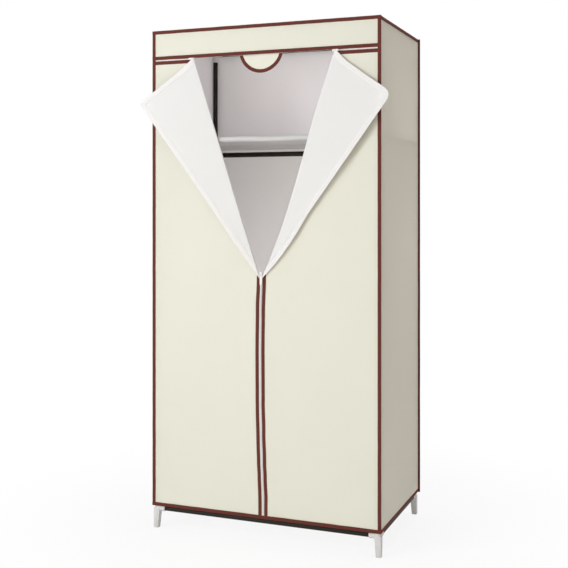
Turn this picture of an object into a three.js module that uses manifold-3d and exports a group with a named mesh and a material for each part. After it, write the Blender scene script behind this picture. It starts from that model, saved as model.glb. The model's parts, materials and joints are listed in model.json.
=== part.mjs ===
// Portable fabric wardrobe: a tube frame in moulded corner connectors, under a zipped cover
// whose two upper door corners are folded back. Millimetres, +Z up, the doors face -Y.
import * as THREE from 'three';
import { mergeVertices } from 'three/addons/utils/BufferGeometryUtils.js';
import Module from 'manifold-3d';

const wasm = await Module();
wasm.setup();

// Overall size of the cover, over its seam binding
const coverWidth = 750;
const coverDepth = 450;
const coverHeight = 1570;
const hemHeight = 71;

// Cloth and tape
const clothThickness = 1.2;
const bindingThickness = 0.8;
const bindingWidth = 10.5;
const backFinWidth = 6;
const tapeThickness = 0.6;
const sideDrawIn = 7;
const topSag = 4;

// Clearances
const fitClearance = 0.3;
const frontEase = 1.8;
const weldDistance = 0.0001;
const cutOverrun = 2;

// Frame tubes and connectors
const tubeDiameter = 16;
const tubeWall = 0.9;
const socketWall = 2;
const socketReach = 27;
const tubeStop = 11;
const socketChamfer = 1.2;
const webThickness = 3;
const webShare = 0.8;
const roundSides = 16;
const bottomRailHeight = 62;
const shelfDrop = 346.5;
const legTopWidth = 20;
const legFootWidth = 15;

// Hanging rod
const rodDrop = 36.5;
const holderLength = 24;
const holderWeb = 8;

// Shelf cloth
const sleeveThickness = 0.8;

// Header, doors and their folded corners
const headerDepth = 89.5;
const topSlot = 6;
const centralSlot = 8.5;
const foldTopSpan = 452;
const foldBottomHeight = 806;
const foldTilt = THREE.MathUtils.degToRad(4.8);
const foldAxisForward = 0.4;
const foldSetback = 0.6;

// Half-round tab
const tabRadius = 73;
const tabSewnDepth = 16;
const tabSides = 24;

// Zip tapes, coils, sliders and pulls
const tapeWidth = 12.5;
const coilThickness = 2.1;
const coilWidth = 5;
const halfCoilWidth = 1;
const slotClearance = 0.45;
const plateThickness = 1;
const flangeThickness = 0.5;
const sliderLength = 14;
const topSliderLength = 11;
const wedgeLengthShare = 0.42;
const wedgeWidthShare = 0.25;
const bailWidthShare = 0.24;
const bailLengthShare = 0.72;
const bailThickness = 1;
const bailRoom = 2.4;
const pullThickness = 1.4;
const pullLength = 38;
const topPullLength = 17;
const pullHoleShare = 0.3;

// Sizes that follow
const tubeRadius = tubeDiameter / 2;
const boreRadius = tubeRadius + fitClearance;
const socketRadius = boreRadius + socketWall;
const bindingLift = fitClearance + bindingThickness;
const clothHalfWidth = coverWidth / 2 - bindingLift;
const clothHalfDepth = coverDepth / 2 - bindingLift;
const clothTop = coverHeight - bindingLift;
const postX = clothHalfWidth - clothThickness - fitClearance - socketRadius;
const postY = clothHalfDepth - clothThickness - frontEase - socketRadius;
const shelfRailHeight = coverHeight - shelfDrop;
const topRailHeight = clothTop - clothThickness - fitClearance - socketRadius;
const rodHeight = shelfRailHeight - rodDrop;
const headerBottom = coverHeight - headerDepth;
const doorTop = headerBottom - topSlot;
const slotHalf = centralSlot / 2;
const foldTop = foldTopSpan / 2;
const tapeFace = -clothThickness - fitClearance;
const tapeBack = tapeFace - tapeThickness;
const coilFace = tapeFace + coilThickness;
const insideHalfWidth = clothHalfWidth - clothThickness - fitClearance;
const insideHalfDepth = clothHalfDepth - clothThickness - fitClearance;

// Near the fold the folded corner lies on the door, so the binding there stops short of it
const doorStripMargin = (bindingLift + fitClearance - 2 * foldAxisForward) / Math.sin(foldTilt);
const flapStripMargin = (2 * (bindingLift - foldAxisForward) + fitClearance) / Math.sin(foldTilt);

const cream = new THREE.Color(0xe4e6d4);
const brown = new THREE.Color(0x643e35);
const black = new THREE.Color(0x191614);
const white = new THREE.Color(0xe6e6ea);

function cloth() {
  return new THREE.MeshStandardMaterial({ color: cream, roughness: 0.9, metalness: 0 });
}

function lining() {
  return new THREE.MeshStandardMaterial({ color: white, roughness: 0.9, metalness: 0 });
}

function tape() {
  return new THREE.MeshStandardMaterial({ color: brown, roughness: 0.8, metalness: 0 });
}

function paintedSteel() {
  return new THREE.MeshStandardMaterial({ color: black, roughness: 0.35, metalness: 0.4 });
}

function mouldedPlastic() {
  return new THREE.MeshStandardMaterial({ color: white, roughness: 0.45, metalness: 0 });
}

// Solids and their booleans

function signedVolume(positions, index) {
  const a = new THREE.Vector3();
  const b = new THREE.Vector3();
  const c = new THREE.Vector3();
  let sum = 0;
  for (let i = 0; i < index.length; i += 3) {
    a.fromArray(positions, index[i] * 3);
    b.fromArray(positions, index[i + 1] * 3);
    c.fromArray(positions, index[i + 2] * 3);
    sum += a.dot(b.cross(c));
  }
  return sum;
}

function toSolid(geometry) {
  const bare = geometry.clone();
  bare.deleteAttribute('normal');
  bare.deleteAttribute('uv');
  const merged = mergeVertices(bare, weldDistance);
  const positions = merged.attributes.position.array;
  const index = merged.index.array;
  const inward = signedVolume(positions, index) < 0;
  const kept = [];
  for (let i = 0; i < index.length; i += 3) {
    const [p, q, r] = [index[i], index[i + 1], index[i + 2]];
    if (p === q || q === r || r === p) continue;
    kept.push(p, inward ? r : q, inward ? q : r);
  }
  return new wasm.Manifold(new wasm.Mesh({
    numProp: 3,
    vertProperties: new Float32Array(positions),
    triVerts: new Uint32Array(kept),
  }));
}

function toGeometry(solid) {
  const mesh = solid.getMesh();
  const geometry = new THREE.BufferGeometry();
  geometry.setAttribute('position', new THREE.BufferAttribute(mesh.vertProperties, 3));
  geometry.setIndex(new THREE.BufferAttribute(mesh.triVerts, 1));
  geometry.computeVertexNormals();
  return geometry;
}

function joined(solids) {
  return solids.reduce((whole, next) => whole.add(next));
}

function cut(solid, tools) {
  return tools.reduce((rest, tool) => rest.subtract(tool), solid);
}

// A box from one corner to the other, with both corners' coordinates kept exactly
function block(x0, x1, y0, y1, z0, z1) {
  const box = new THREE.BoxGeometry(1, 1, 1);
  const position = box.attributes.position;
  for (let i = 0; i < position.count; i += 1) {
    position.setXYZ(
      i,
      position.getX(i) > 0 ? x1 : x0,
      position.getY(i) > 0 ? y1 : y0,
      position.getZ(i) > 0 ? z1 : z0,
    );
  }
  return toSolid(box);
}

// An outline, with any windows in it, as a plate from one level to the other
function plate(outline, z0, z1, windows = []) {
  const path = (points) => points.map(([x, y]) => new THREE.Vector2(x, y));
  const shape = new THREE.Shape(path(outline));
  shape.holes = windows.map((window) => new THREE.Path(path(window)));
  const extruded = new THREE.ExtrudeGeometry(shape, { depth: 1, bevelEnabled: false });
  const position = extruded.attributes.position;
  for (let i = 0; i < position.count; i += 1) {
    position.setZ(i, position.getZ(i) > 0 ? Math.max(z0, z1) : Math.min(z0, z1));
  }
  return toSolid(extruded);
}

// A round body about +Y whose profile starts and ends on the axis
function turned(radius, start, end, chamferStart, chamferEnd) {
  const profile = [
    [0, start],
    [radius - chamferStart, start],
    [radius, start + chamferStart],
    [radius, end - chamferEnd],
    [radius - chamferEnd, end],
    [0, end],
  ];
  const points = profile
    .filter(([r, h], i) => i === 0 || r !== profile[i - 1][0] || h !== profile[i - 1][1])
    .map(([r, h]) => new THREE.Vector2(r, h));
  return new THREE.LatheGeometry(points, roundSides);
}

const quarterTurn = Math.PI / 2;

// Turns a body that lies along +Y so that it lies along the wanted axis
function towards(geometry, axis, sign) {
  if (axis === 'x') return geometry.rotateZ(-sign * quarterTurn);
  if (axis === 'z') return geometry.rotateX(sign * quarterTurn);
  return sign > 0 ? geometry : geometry.rotateX(2 * quarterTurn);
}

function meshOf(name, solid, material) {
  const mesh = new THREE.Mesh(toGeometry(solid), material);
  mesh.name = name;
  return mesh;
}

// Frame tubes

function tubeGeometry(length) {
  const inner = tubeRadius - tubeWall;
  const profile = [[inner, 0], [tubeRadius, 0], [tubeRadius, length], [inner, length], [inner, 0]];
  return new THREE.LatheGeometry(profile.map(([r, h]) => new THREE.Vector2(r, h)), roundSides);
}

function tubeMesh(name, from, axis, length) {
  const mesh = meshOf(name, toSolid(towards(tubeGeometry(length), axis, 1)), paintedSteel());
  mesh.position.set(...from);
  return mesh;
}

// Moulded connectors

function socketBore(axis, sign, stop) {
  const length = socketReach + cutOverrun - stop;
  const bore = turned(boreRadius, 0, length, 0, 0).translate(0, stop, 0);
  return toSolid(towards(bore, axis, sign));
}

function socketBody(axis, sign) {
  return toSolid(towards(turned(socketRadius, 0, socketReach, 0, socketChamfer), axis, sign));
}

// A triangular web in the corner between two sockets
function cornerWeb(axisA, signA, axisB, signB) {
  const leg = socketReach * webShare;
  const half = webThickness / 2;
  const web = plate([[0, 0], [leg, 0], [0, leg]], -half, half);
  const basis = new THREE.Matrix4();
  const along = { x: [1, 0, 0], y: [0, 1, 0], z: [0, 0, 1] };
  const a = new THREE.Vector3(...along[axisA]).multiplyScalar(signA);
  const b = new THREE.Vector3(...along[axisB]).multiplyScalar(signB);
  basis.makeBasis(a, b, new THREE.Vector3().crossVectors(a, b));
  return toSolid(toGeometry(web).applyMatrix4(basis));
}

// inX and inY point from the corner to the middle of the wardrobe
function connectorSolid(inX, inY, sleeveDown, sleeveUp, extras) {
  const capDown = sleeveDown ? socketReach : socketRadius;
  const capUp = sleeveUp ? socketReach : socketRadius;
  const sleeve = turned(socketRadius, -capDown, capUp, socketChamfer, socketChamfer);
  const bodies = [toSolid(towards(sleeve, 'z', 1)), socketBody('x', inX), socketBody('y', inY)];
  const bores = [socketBore('x', inX, tubeStop), socketBore('y', inY, tubeStop)];
  bodies.push(cornerWeb('x', inX, 'y', inY));
  if (sleeveUp) {
    bodies.push(cornerWeb('x', inX, 'z', 1), cornerWeb('y', inY, 'z', 1));
    bores.push(socketBore('z', 1, tubeStop));
  }
  if (sleeveDown) {
    bodies.push(cornerWeb('x', inX, 'z', -1), cornerWeb('y', inY, 'z', -1));
    bores.push(socketBore('z', -1, tubeStop));
  }
  return cut(joined([...bodies, ...extras]), bores);
}

// The leg's outer faces are upright and its inner faces taper to the floor
function taperedLeg(inX, inY) {
  const height = bottomRailHeight;
  const leg = new THREE.BoxGeometry(legTopWidth, legTopWidth, height);
  const position = leg.attributes.position;
  const taper = legFootWidth / legTopWidth;
  for (let i = 0; i < position.count; i += 1) {
    const share = position.getZ(i) < 0 ? taper : 1;
    const outX = position.getX(i) * inX + legTopWidth / 2;
    const outY = position.getY(i) * inY + legTopWidth / 2;
    position.setX(i, (outX * share - socketRadius) * inX);
    position.setY(i, (outY * share - socketRadius) * inY);
  }
  return toSolid(leg.translate(0, 0, -height / 2));
}

const corners = [
  { name: 'front_left', x: -1, y: -1 },
  { name: 'front_right', x: 1, y: -1 },
  { name: 'back_left', x: -1, y: 1 },
  { name: 'back_right', x: 1, y: 1 },
];

function connectorMesh(name, corner, height, sleeveDown, sleeveUp, extras) {
  const solid = connectorSolid(-corner.x, -corner.y, sleeveDown, sleeveUp, extras);
  const mesh = meshOf(name, solid, mouldedPlastic());
  mesh.position.set(corner.x * postX, corner.y * postY, height);
  return mesh;
}

function upright(name, corner, lower, upper) {
  const start = lower + tubeStop + fitClearance;
  const length = upper - lower - 2 * (tubeStop + fitClearance);
  return tubeMesh(name, [corner.x * postX, corner.y * postY, start], 'z', length);
}

function cornerPost(corner) {
  const post = new THREE.Group();
  const leg = taperedLeg(-corner.x, -corner.y);
  post.add(
    connectorMesh(`foot_${corner.name}`, corner, bottomRailHeight, false, true, [leg]),
    upright(`lower_upright_${corner.name}`, corner, bottomRailHeight, shelfRailHeight),
    connectorMesh(`shelf_joint_${corner.name}`, corner, shelfRailHeight, true, true, []),
    upright(`upper_upright_${corner.name}`, corner, shelfRailHeight, topRailHeight),
    connectorMesh(`top_corner_${corner.name}`, corner, topRailHeight, true, false, []),
  );
  return post;
}

function railRing(name, height) {
  const ring = new THREE.Group();
  const spanX = 2 * (postX - tubeStop - fitClearance);
  const spanY = 2 * (postY - tubeStop - fitClearance);
  ring.add(
    tubeMesh(`${name}_front`, [-spanX / 2, -postY, height], 'x', spanX),
    tubeMesh(`${name}_back`, [-spanX / 2, postY, height], 'x', spanX),
    tubeMesh(`${name}_left`, [-postX, -spanY / 2, height], 'y', spanY),
    tubeMesh(`${name}_right`, [postX, -spanY / 2, height], 'y', spanY),
  );
  return ring;
}

// Hanging rod, in two holders that sleeve over the side shelf rails

const holderCupReach = socketReach - socketRadius;

function rodHolder(name, side) {
  const half = holderLength / 2;
  const sleeve = turned(socketRadius, -half, half, socketChamfer, socketChamfer);
  const cup = turned(socketRadius, -boreRadius, holderCupReach, socketChamfer, socketChamfer);
  const drop = block(-holderWeb / 2, holderWeb / 2, -half / 2, half / 2, -rodDrop, 0);
  const sleeveBore = turned(boreRadius, -half - cutOverrun, half + cutOverrun, 0, 0);
  const cupBore = turned(boreRadius, 0, holderCupReach + cutOverrun, 0, 0);
  const body = joined([
    toSolid(sleeve),
    toSolid(towards(cup, 'x', -side).translate(0, 0, -rodDrop)),
    drop,
  ]);
  const bores = [toSolid(sleeveBore), toSolid(towards(cupBore, 'x', -side).translate(0, 0, -rodDrop))];
  const mesh = meshOf(name, cut(body, bores), mouldedPlastic());
  mesh.position.set(side * postX, 0, shelfRailHeight);
  return mesh;
}

function hangingRail() {
  const rail = new THREE.Group();
  const half = postX - fitClearance;
  rail.add(
    tubeMesh('hanging_rod', [-half, 0, rodHeight], 'x', 2 * half),
    rodHolder('rod_holder_left', -1),
    rodHolder('rod_holder_right', 1),
  );
  return rail;
}

// Shelf cloth: one sheet between a sleeve on the front rail and one on the back rail

function shelfCloth() {
  const half = postX - socketReach - fitClearance;
  const outer = boreRadius + sleeveThickness;
  const bodies = [block(-half, half, -postY, postY, -sleeveThickness / 2, sleeveThickness / 2)];
  const bores = [];
  for (const y of [-postY, postY]) {
    const sleeve = turned(outer, -half, half, 0, 0);
    const bore = turned(boreRadius, -half - cutOverrun, half + cutOverrun, 0, 0);
    bodies.push(toSolid(towards(sleeve, 'x', 1).translate(0, y, 0)));
    bores.push(toSolid(towards(bore, 'x', 1).translate(0, y, 0)));
  }
  const mesh = meshOf('shelf_cloth', cut(joined(bodies), bores), lining());
  mesh.position.z = shelfRailHeight;
  return mesh;
}

// Cover panels. Each face of the cover has a frame whose x runs along it, y up and z outwards,
// with z = 0 on the outside of the cloth.

function faceFrame(angle, distance) {
  const turn = new THREE.Group();
  const frame = new THREE.Group();
  turn.rotation.z = angle;
  frame.rotation.x = quarterTurn;
  frame.position.y = -distance;
  turn.add(frame);
  return { turn, frame };
}

// A stretched cloth that draws in between the rails at its band ends
function drawnCloth(width, bands, columns, rows) {
  const grid = [];
  bands.forEach(([low, high, depth], band) => {
    for (let j = band === 0 ? 0 : 1; j <= rows; j += 1) {
      const v = j / rows;
      const row = [];
      for (let i = 0; i <= columns; i += 1) {
        const u = i / columns;
        const dip = depth * Math.sin(Math.PI * u) * Math.sin(Math.PI * v);
        row.push(new THREE.Vector3((u - 1 / 2) * width, low + (high - low) * v, -dip));
      }
      grid.push(row);
    }
  });
  return slab(grid);
}

function slab(grid) {
  const faces = [];
  const quad = (a, b, c, d) => faces.push(a, b, c, a, c, d);
  const back = (p) => new THREE.Vector3(p.x, p.y, p.z - clothThickness);
  const last = grid.length - 1;
  const end = grid[0].length - 1;
  for (let j = 0; j < last; j += 1) {
    for (let i = 0; i < end; i += 1) {
      const [a, b, c, d] = [grid[j][i], grid[j][i + 1], grid[j + 1][i + 1], grid[j + 1][i]];
      quad(a, b, c, d);
      quad(back(d), back(c), back(b), back(a));
    }
  }
  for (let i = 0; i < end; i += 1) {
    quad(back(grid[0][i]), back(grid[0][i + 1]), grid[0][i + 1], grid[0][i]);
    quad(grid[last][i], grid[last][i + 1], back(grid[last][i + 1]), back(grid[last][i]));
  }
  for (let j = 0; j < last; j += 1) {
    quad(grid[j][0], grid[j + 1][0], back(grid[j + 1][0]), back(grid[j][0]));
    quad(back(grid[j][end]), back(grid[j + 1][end]), grid[j + 1][end], grid[j][end]);
  }
  return toSolid(new THREE.BufferGeometry().setFromPoints(faces));
}

function uprightBands(share) {
  return [
    [hemHeight, shelfRailHeight, sideDrawIn],
    [shelfRailHeight, clothTop, sideDrawIn * share],
  ];
}

const upperDrawShare = 0.5;
const panelColumns = 8;
const panelRows = 10;

function coverPanels() {
  const cover = new THREE.Group();
  const sides = [
    ['cover_right', quarterTurn, clothHalfWidth, 2 * insideHalfDepth],
    ['cover_left', -quarterTurn, clothHalfWidth, 2 * insideHalfDepth],
    ['cover_back', 2 * quarterTurn, clothHalfDepth, 2 * clothHalfWidth],
  ];
  for (const [name, angle, distance, width] of sides) {
    const { turn, frame } = faceFrame(angle, distance);
    const panel = drawnCloth(width, uprightBands(upperDrawShare), panelColumns, panelRows);
    frame.add(meshOf(name, panel, cloth()));
    cover.add(turn);
  }
  const topBand = [[-insideHalfDepth, insideHalfDepth, topSag]];
  const topPanel = drawnCloth(2 * insideHalfWidth, topBand, panelColumns, panelRows);
  const top = meshOf('cover_top', topPanel, cloth());
  top.position.z = clothTop;
  cover.add(top);
  return cover;
}

// The fold runs from the door's top edge down to the central zip

const foldRun = new THREE.Vector2(foldTop - slotHalf, doorTop - foldBottomHeight);
const foldLength = foldRun.length();
const foldAngle = Math.atan2(foldRun.x, foldRun.y);
const cornerAlong = foldRun.x * Math.sin(foldAngle);
const cornerAcross = foldRun.x * Math.cos(foldAngle);

// Seam binding: one sewn tape on the cloth's outside, along every edge of the cover, the header,
// the door tops and both sides of the central zip. At the back it stands out as two fins.

function rectangle(halfWidth, low, high) {
  return [[-halfWidth, low], [halfWidth, low], [halfWidth, high], [-halfWidth, high]];
}

function edgeBinding() {
  const edge = coverWidth / 2;
  const inner = edge - bindingWidth;
  const face = edge - bindingThickness;
  const outside = coverDepth / 2;
  const inside = outside - bindingThickness;
  const hemTop = hemHeight + bindingWidth;
  const topLow = coverHeight - bindingWidth;
  const headerLow = headerBottom + fitClearance;
  const doorStripTop = doorTop - fitClearance;
  const doorStripLow = doorStripTop - bindingWidth;
  const doorStripEnd = foldTop + doorStripMargin / Math.cos(foldAngle);
  const zipStripTop = foldBottomHeight - bindingWidth;
  const zipStripEdge = slotHalf + bindingWidth;
  const rightInside = [
    [slotHalf, hemHeight],
    [slotHalf, zipStripTop],
    [zipStripEdge, zipStripTop],
    [zipStripEdge, hemTop],
    [inner, hemTop],
    [inner, doorStripLow],
    [doorStripEnd, doorStripLow],
    [doorStripEnd, doorStripTop],
    [inner, doorStripTop],
    [inner, headerLow],
  ];
  const leftInside = rightInside.map(([x, z]) => [-x, z]);
  const outer = [[edge, hemHeight], [edge, coverHeight], [-edge, coverHeight], [-edge, hemHeight]];
  const front = plate([...outer, ...leftInside, ...rightInside.reverse()], inside, outside,
    [rectangle(inner, headerLow + bindingWidth, topLow)]);
  const back = plate(rectangle(edge + backFinWidth, hemHeight, coverHeight), -outside, -inside,
    [rectangle(face, hemTop, topLow)]);
  const solids = [front, back].map((sheet) => toSolid(toGeometry(sheet).rotateX(quarterTurn)));
  for (const side of [-1, 1]) {
    solids.push(
      block(side * face, side * edge, -inside, inside, topLow, coverHeight),
      block(side * face, side * edge, -inside, inside, hemHeight, hemTop),
    );
  }
  return meshOf('edge_binding', joined(solids), tape());
}

// Folded door corner

// Points of the flap's plan: x runs down the fold from the door's top edge and y runs to the
// free corner, where the top edge and the zip edge meet squarely. A margin moves a point in
// from those two edges, and a fold margin moves it off the fold.
const foldSine = Math.sin(foldAngle);
const foldCosine = Math.cos(foldAngle);

function topEdgePoint(margin, foldMargin) {
  return [(margin + foldMargin * foldSine) / foldCosine, foldMargin];
}

function zipEdgePoint(margin, foldMargin) {
  return [foldLength - (margin + foldMargin * foldCosine) / foldSine, foldMargin];
}

function freeCorner(margin) {
  return [
    cornerAlong + margin * (foldCosine - foldSine),
    cornerAcross - margin * (foldCosine + foldSine),
  ];
}

function flapOutline(edgeMargin, foldMargin) {
  return [
    topEdgePoint(edgeMargin, foldMargin),
    zipEdgePoint(edgeMargin, foldMargin),
    freeCorner(edgeMargin),
  ];
}

// A strip of even width along both free edges
function flapStrip(width, edgeMargin, foldMargin) {
  return [
    topEdgePoint(edgeMargin, foldMargin),
    freeCorner(edgeMargin),
    zipEdgePoint(edgeMargin, foldMargin),
    zipEdgePoint(edgeMargin + width, foldMargin),
    freeCorner(edgeMargin + width),
    topEdgePoint(edgeMargin + width, foldMargin),
  ];
}

function flapPieces(name, side) {
  const hinge = new THREE.Group();
  const swing = new THREE.Group();
  const face = -foldAxisForward;
  const back = face - clothThickness;
  const bindingFace = face + fitClearance;
  const tapeFront = back - fitClearance;
  const tapeRear = tapeFront - tapeThickness;
  const tapeMargin = foldSetback + tapeWidth / 4;
  const tapeStrip = plate(flapStrip(tapeWidth, 0, tapeMargin), tapeRear, tapeFront);
  const coilStrip = plate(
    flapStrip(2 * halfCoilWidth, 0, tapeMargin), tapeRear - halfCoilWidth, tapeFront);
  const bindingStrip = plate(
    flapStrip(bindingWidth, 0, flapStripMargin), bindingFace, bindingFace + bindingThickness);
  const pieces = [
    meshOf(`flap_${name}`, plate(flapOutline(0, foldSetback), back, face), lining()),
    meshOf(`flap_binding_${name}`, bindingStrip, tape()),
    meshOf(`flap_zip_${name}`, tapeStrip.add(coilStrip), lining()),
  ];
  swing.add(...pieces);
  swing.rotation.x = Math.PI - foldTilt;
  hinge.add(swing);
  hinge.rotation.z = foldAngle - quarterTurn;
  hinge.position.set(-foldTop, doorTop, foldAxisForward);
  const mirrored = new THREE.Group();
  mirrored.add(hinge);
  if (side > 0) mirrored.scale.x = -1;
  return mirrored;
}

function doorOutline(side) {
  const cutBack = foldSetback / Math.cos(foldAngle);
  const drop = foldSetback / Math.sin(foldAngle);
  return [
    [side * slotHalf, hemHeight],
    [side * clothHalfWidth, hemHeight],
    [side * clothHalfWidth, doorTop],
    [side * (foldTop + cutBack), doorTop],
    [side * slotHalf, foldBottomHeight - drop],
  ];
}

// Half-round tab behind the header's lower edge

function halfDisc(radius, top) {
  const outline = [];
  for (let i = 0; i <= tabSides; i += 1) {
    const angle = Math.PI * (1 + i / tabSides);
    outline.push([radius * Math.cos(angle), top + radius * Math.sin(angle)]);
  }
  return outline;
}

const sliderBack = tapeBack - fitClearance - plateThickness;
const tabTop = headerBottom + tabSewnDepth;
const tabBindingFace = sliderBack - fitClearance;
const tabFace = tabBindingFace - bindingThickness - fitClearance;

function tabPieces() {
  const ring = plate(halfDisc(tabRadius, tabTop), tabBindingFace - bindingThickness, tabBindingFace);
  const hole = plate(
    halfDisc(tabRadius - bindingWidth, tabTop + cutOverrun),
    tabBindingFace - bindingThickness - cutOverrun,
    tabBindingFace + cutOverrun,
  );
  const disc = plate(halfDisc(tabRadius, tabTop), tabFace - clothThickness, tabFace);
  return [meshOf('tab', disc, cloth()), meshOf('tab_binding', ring.subtract(hole), tape())];
}

// Zips. A slider has a front and a back plate joined by a wedge, flanges that guide the coil
// and a bail for its pull. It closes the zip as it moves along +Y of its own frame.

function sliderSolid(length, width) {
  const half = width / 2;
  const frontFace = coilFace + fitClearance;
  const front = frontFace + plateThickness;
  const backFace = tapeBack - fitClearance;
  const wedgeHalf = half * wedgeWidthShare;
  const wedgeBottom = length * (1 - wedgeLengthShare);
  const flange = tapeFace + fitClearance;
  const bailHalf = half * bailWidthShare;
  const bailStart = length * (1 - bailLengthShare) / 2;
  const bailEnd = length - bailStart;
  const shoulder = half - flangeThickness;
  const nose = [[-shoulder, 0], [shoulder, 0], [half, length / 3], [half, length], [-half, length],
    [-half, length / 3]];
  const wedge = [[0, wedgeBottom], [wedgeHalf, length], [-wedgeHalf, length]];
  const bodies = [
    plate(nose, frontFace, front),
    plate(nose, backFace - plateThickness, backFace),
    plate(wedge, backFace - plateThickness / 2, frontFace + plateThickness / 2),
    block(-bailHalf, bailHalf, bailStart, bailEnd, front - plateThickness / 2,
      front + bailRoom + bailThickness),
  ];
  for (const side of [-1, 1]) {
    bodies.push(block(side * shoulder, side * half, length / 3, length, flange, front));
  }
  const window = block(-half, half, bailStart + bailThickness, bailEnd - bailThickness,
    front, front + bailRoom);
  return joined(bodies).subtract(window);
}

// The pull's cross bar passes under the bail at the frame's origin, and the pull hangs to -Y
function pullSolid(length, width, sliderSize) {
  const half = width / 2;
  const bar = pullThickness / 2;
  const bailHalf = half * bailWidthShare + fitClearance;
  const reach = sliderSize * bailLengthShare;
  const outline = [[-half, bar], [half, bar], [half, -length + half], [half / 2, -length],
    [-half / 2, -length], [-half, -length + half]];
  const eye = block(-bailHalf - fitClearance, bailHalf + fitClearance, -reach, -bar, -width, width);
  const grip = half * pullHoleShare;
  const hole = toSolid(towards(turned(grip, -width, width, 0, 0), 'z', 1)
    .translate(0, -length + half, 0));
  return plate(outline, -bar, bar).subtract(eye).subtract(hole);
}

function sliderWithPull(sliderName, pullName, length, width, pullReach) {
  const group = new THREE.Group();
  const pivotLift = coilFace + fitClearance + plateThickness + bailRoom / 2;
  const bailEnd = length * (1 + bailLengthShare) / 2;
  const pull = meshOf(pullName, pullSolid(pullReach, width, length), mouldedPlastic());
  pull.position.set(0, bailEnd - bailThickness - pullThickness, pivotLift);
  group.add(meshOf(sliderName, sliderSolid(length, width), mouldedPlastic()), pull);
  return group;
}

const sliderBottom = foldBottomHeight - foldSetback;
const sliderWidth = centralSlot - 2 * slotClearance;
const topSliderWidth = topSlot - 2 * fitClearance;
const slotMiddle = doorTop + topSlot / 2;

function centralZip() {
  const zip = new THREE.Group();
  const chainTop = sliderBottom + sliderLength * (1 - wedgeLengthShare) - fitClearance;
  const tapeHalf = tapeWidth + centralSlot / 4;
  const chain = joined([
    block(-tapeHalf, tapeHalf, hemHeight, chainTop, tapeBack, tapeFace),
    block(-coilWidth / 2, coilWidth / 2, hemHeight + bindingWidth, chainTop, tapeFace - tapeThickness / 2,
      coilFace),
  ]);
  const slider = sliderWithPull('zip_slider', 'zip_pull', sliderLength, sliderWidth, pullLength);
  slider.position.y = sliderBottom;
  zip.add(meshOf('zip_chain', chain, lining()), slider);
  return zip;
}

// The header's tape carries half a coil over the doorway and the closed zip at both ends
function topZip() {
  const zip = new THREE.Group();
  const end = insideHalfWidth;
  const coilEnd = coverWidth / 2 - bindingWidth - fitClearance;
  const wedgeHalf = topSliderWidth / 2 * wedgeWidthShare;
  const half = topSliderWidth / 2 - flangeThickness - fitClearance;
  const coilLow = slotMiddle + wedgeHalf + fitClearance;
  const closedStart = foldTop + topSliderLength * wedgeLengthShare + fitClearance;
  const allowanceHalf = tabRadius;
  const bodies = [
    block(-end, end, coilLow, slotMiddle + half + tapeWidth, tapeBack, tapeFace),
    block(-coilEnd, coilEnd, coilLow, slotMiddle + half, tapeFace - tapeThickness / 2, coilFace),
    block(-allowanceHalf, allowanceHalf, headerBottom + fitClearance, slotMiddle + half + tapeWidth,
      sliderBack, tapeBack + tapeThickness / 2),
  ];
  for (const side of [-1, 1]) {
    bodies.push(
      block(side * closedStart, side * end, slotMiddle - half - tapeWidth, slotMiddle + half + tapeWidth,
        tapeBack, tapeFace),
      block(side * closedStart, side * coilEnd, slotMiddle - half, slotMiddle + half,
        tapeFace - tapeThickness / 2, coilFace),
    );
  }
  zip.add(meshOf('top_zip', joined(bodies), lining()));
  for (const [name, side] of [['left', -1], ['right', 1]]) {
    const slider = sliderWithPull(`top_slider_${name}`, `top_pull_${name}`, topSliderLength,
      topSliderWidth, topPullLength);
    slider.rotation.z = side * quarterTurn;
    slider.position.set(side * (foldTop + topSliderLength), slotMiddle, 0);
    zip.add(slider);
  }
  return zip;
}

function frontFace() {
  const { turn, frame } = faceFrame(0, clothHalfDepth);
  const header = block(-clothHalfWidth, clothHalfWidth, headerBottom, clothTop, -clothThickness, 0);
  frame.add(
    meshOf('header', header, cloth()),
    meshOf('door_left', plate(doorOutline(-1), -clothThickness, 0), cloth()),
    meshOf('door_right', plate(doorOutline(1), -clothThickness, 0), cloth()),
    flapPieces('left', -1),
    flapPieces('right', 1),
    ...tabPieces(),
    centralZip(),
    topZip(),
  );
  return turn;
}

const wardrobe = new THREE.Group();
corners.forEach((corner) => wardrobe.add(cornerPost(corner)));
wardrobe.add(
  railRing('bottom_rail', bottomRailHeight),
  railRing('shelf_rail', shelfRailHeight),
  railRing('top_rail', topRailHeight),
  hangingRail(),
  shelfCloth(),
  coverPanels(),
  edgeBinding(),
  frontFace(),
);

// The origin is on the floor under the middle of the whole box, folded corners included
wardrobe.updateMatrixWorld(true);
const box = new THREE.Box3().setFromObject(wardrobe, true);
wardrobe.position.y = -(box.min.y + box.max.y) / 2;
wardrobe.updateMatrixWorld(true);

export default wardrobe;
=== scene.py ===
# A portable fabric wardrobe: a zipped cloth cover with bound seams over black tubes in white corners.
import json
from math import cos, pi, radians, sin, sqrt, tan

import bpy
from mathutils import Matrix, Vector, noise

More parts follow.
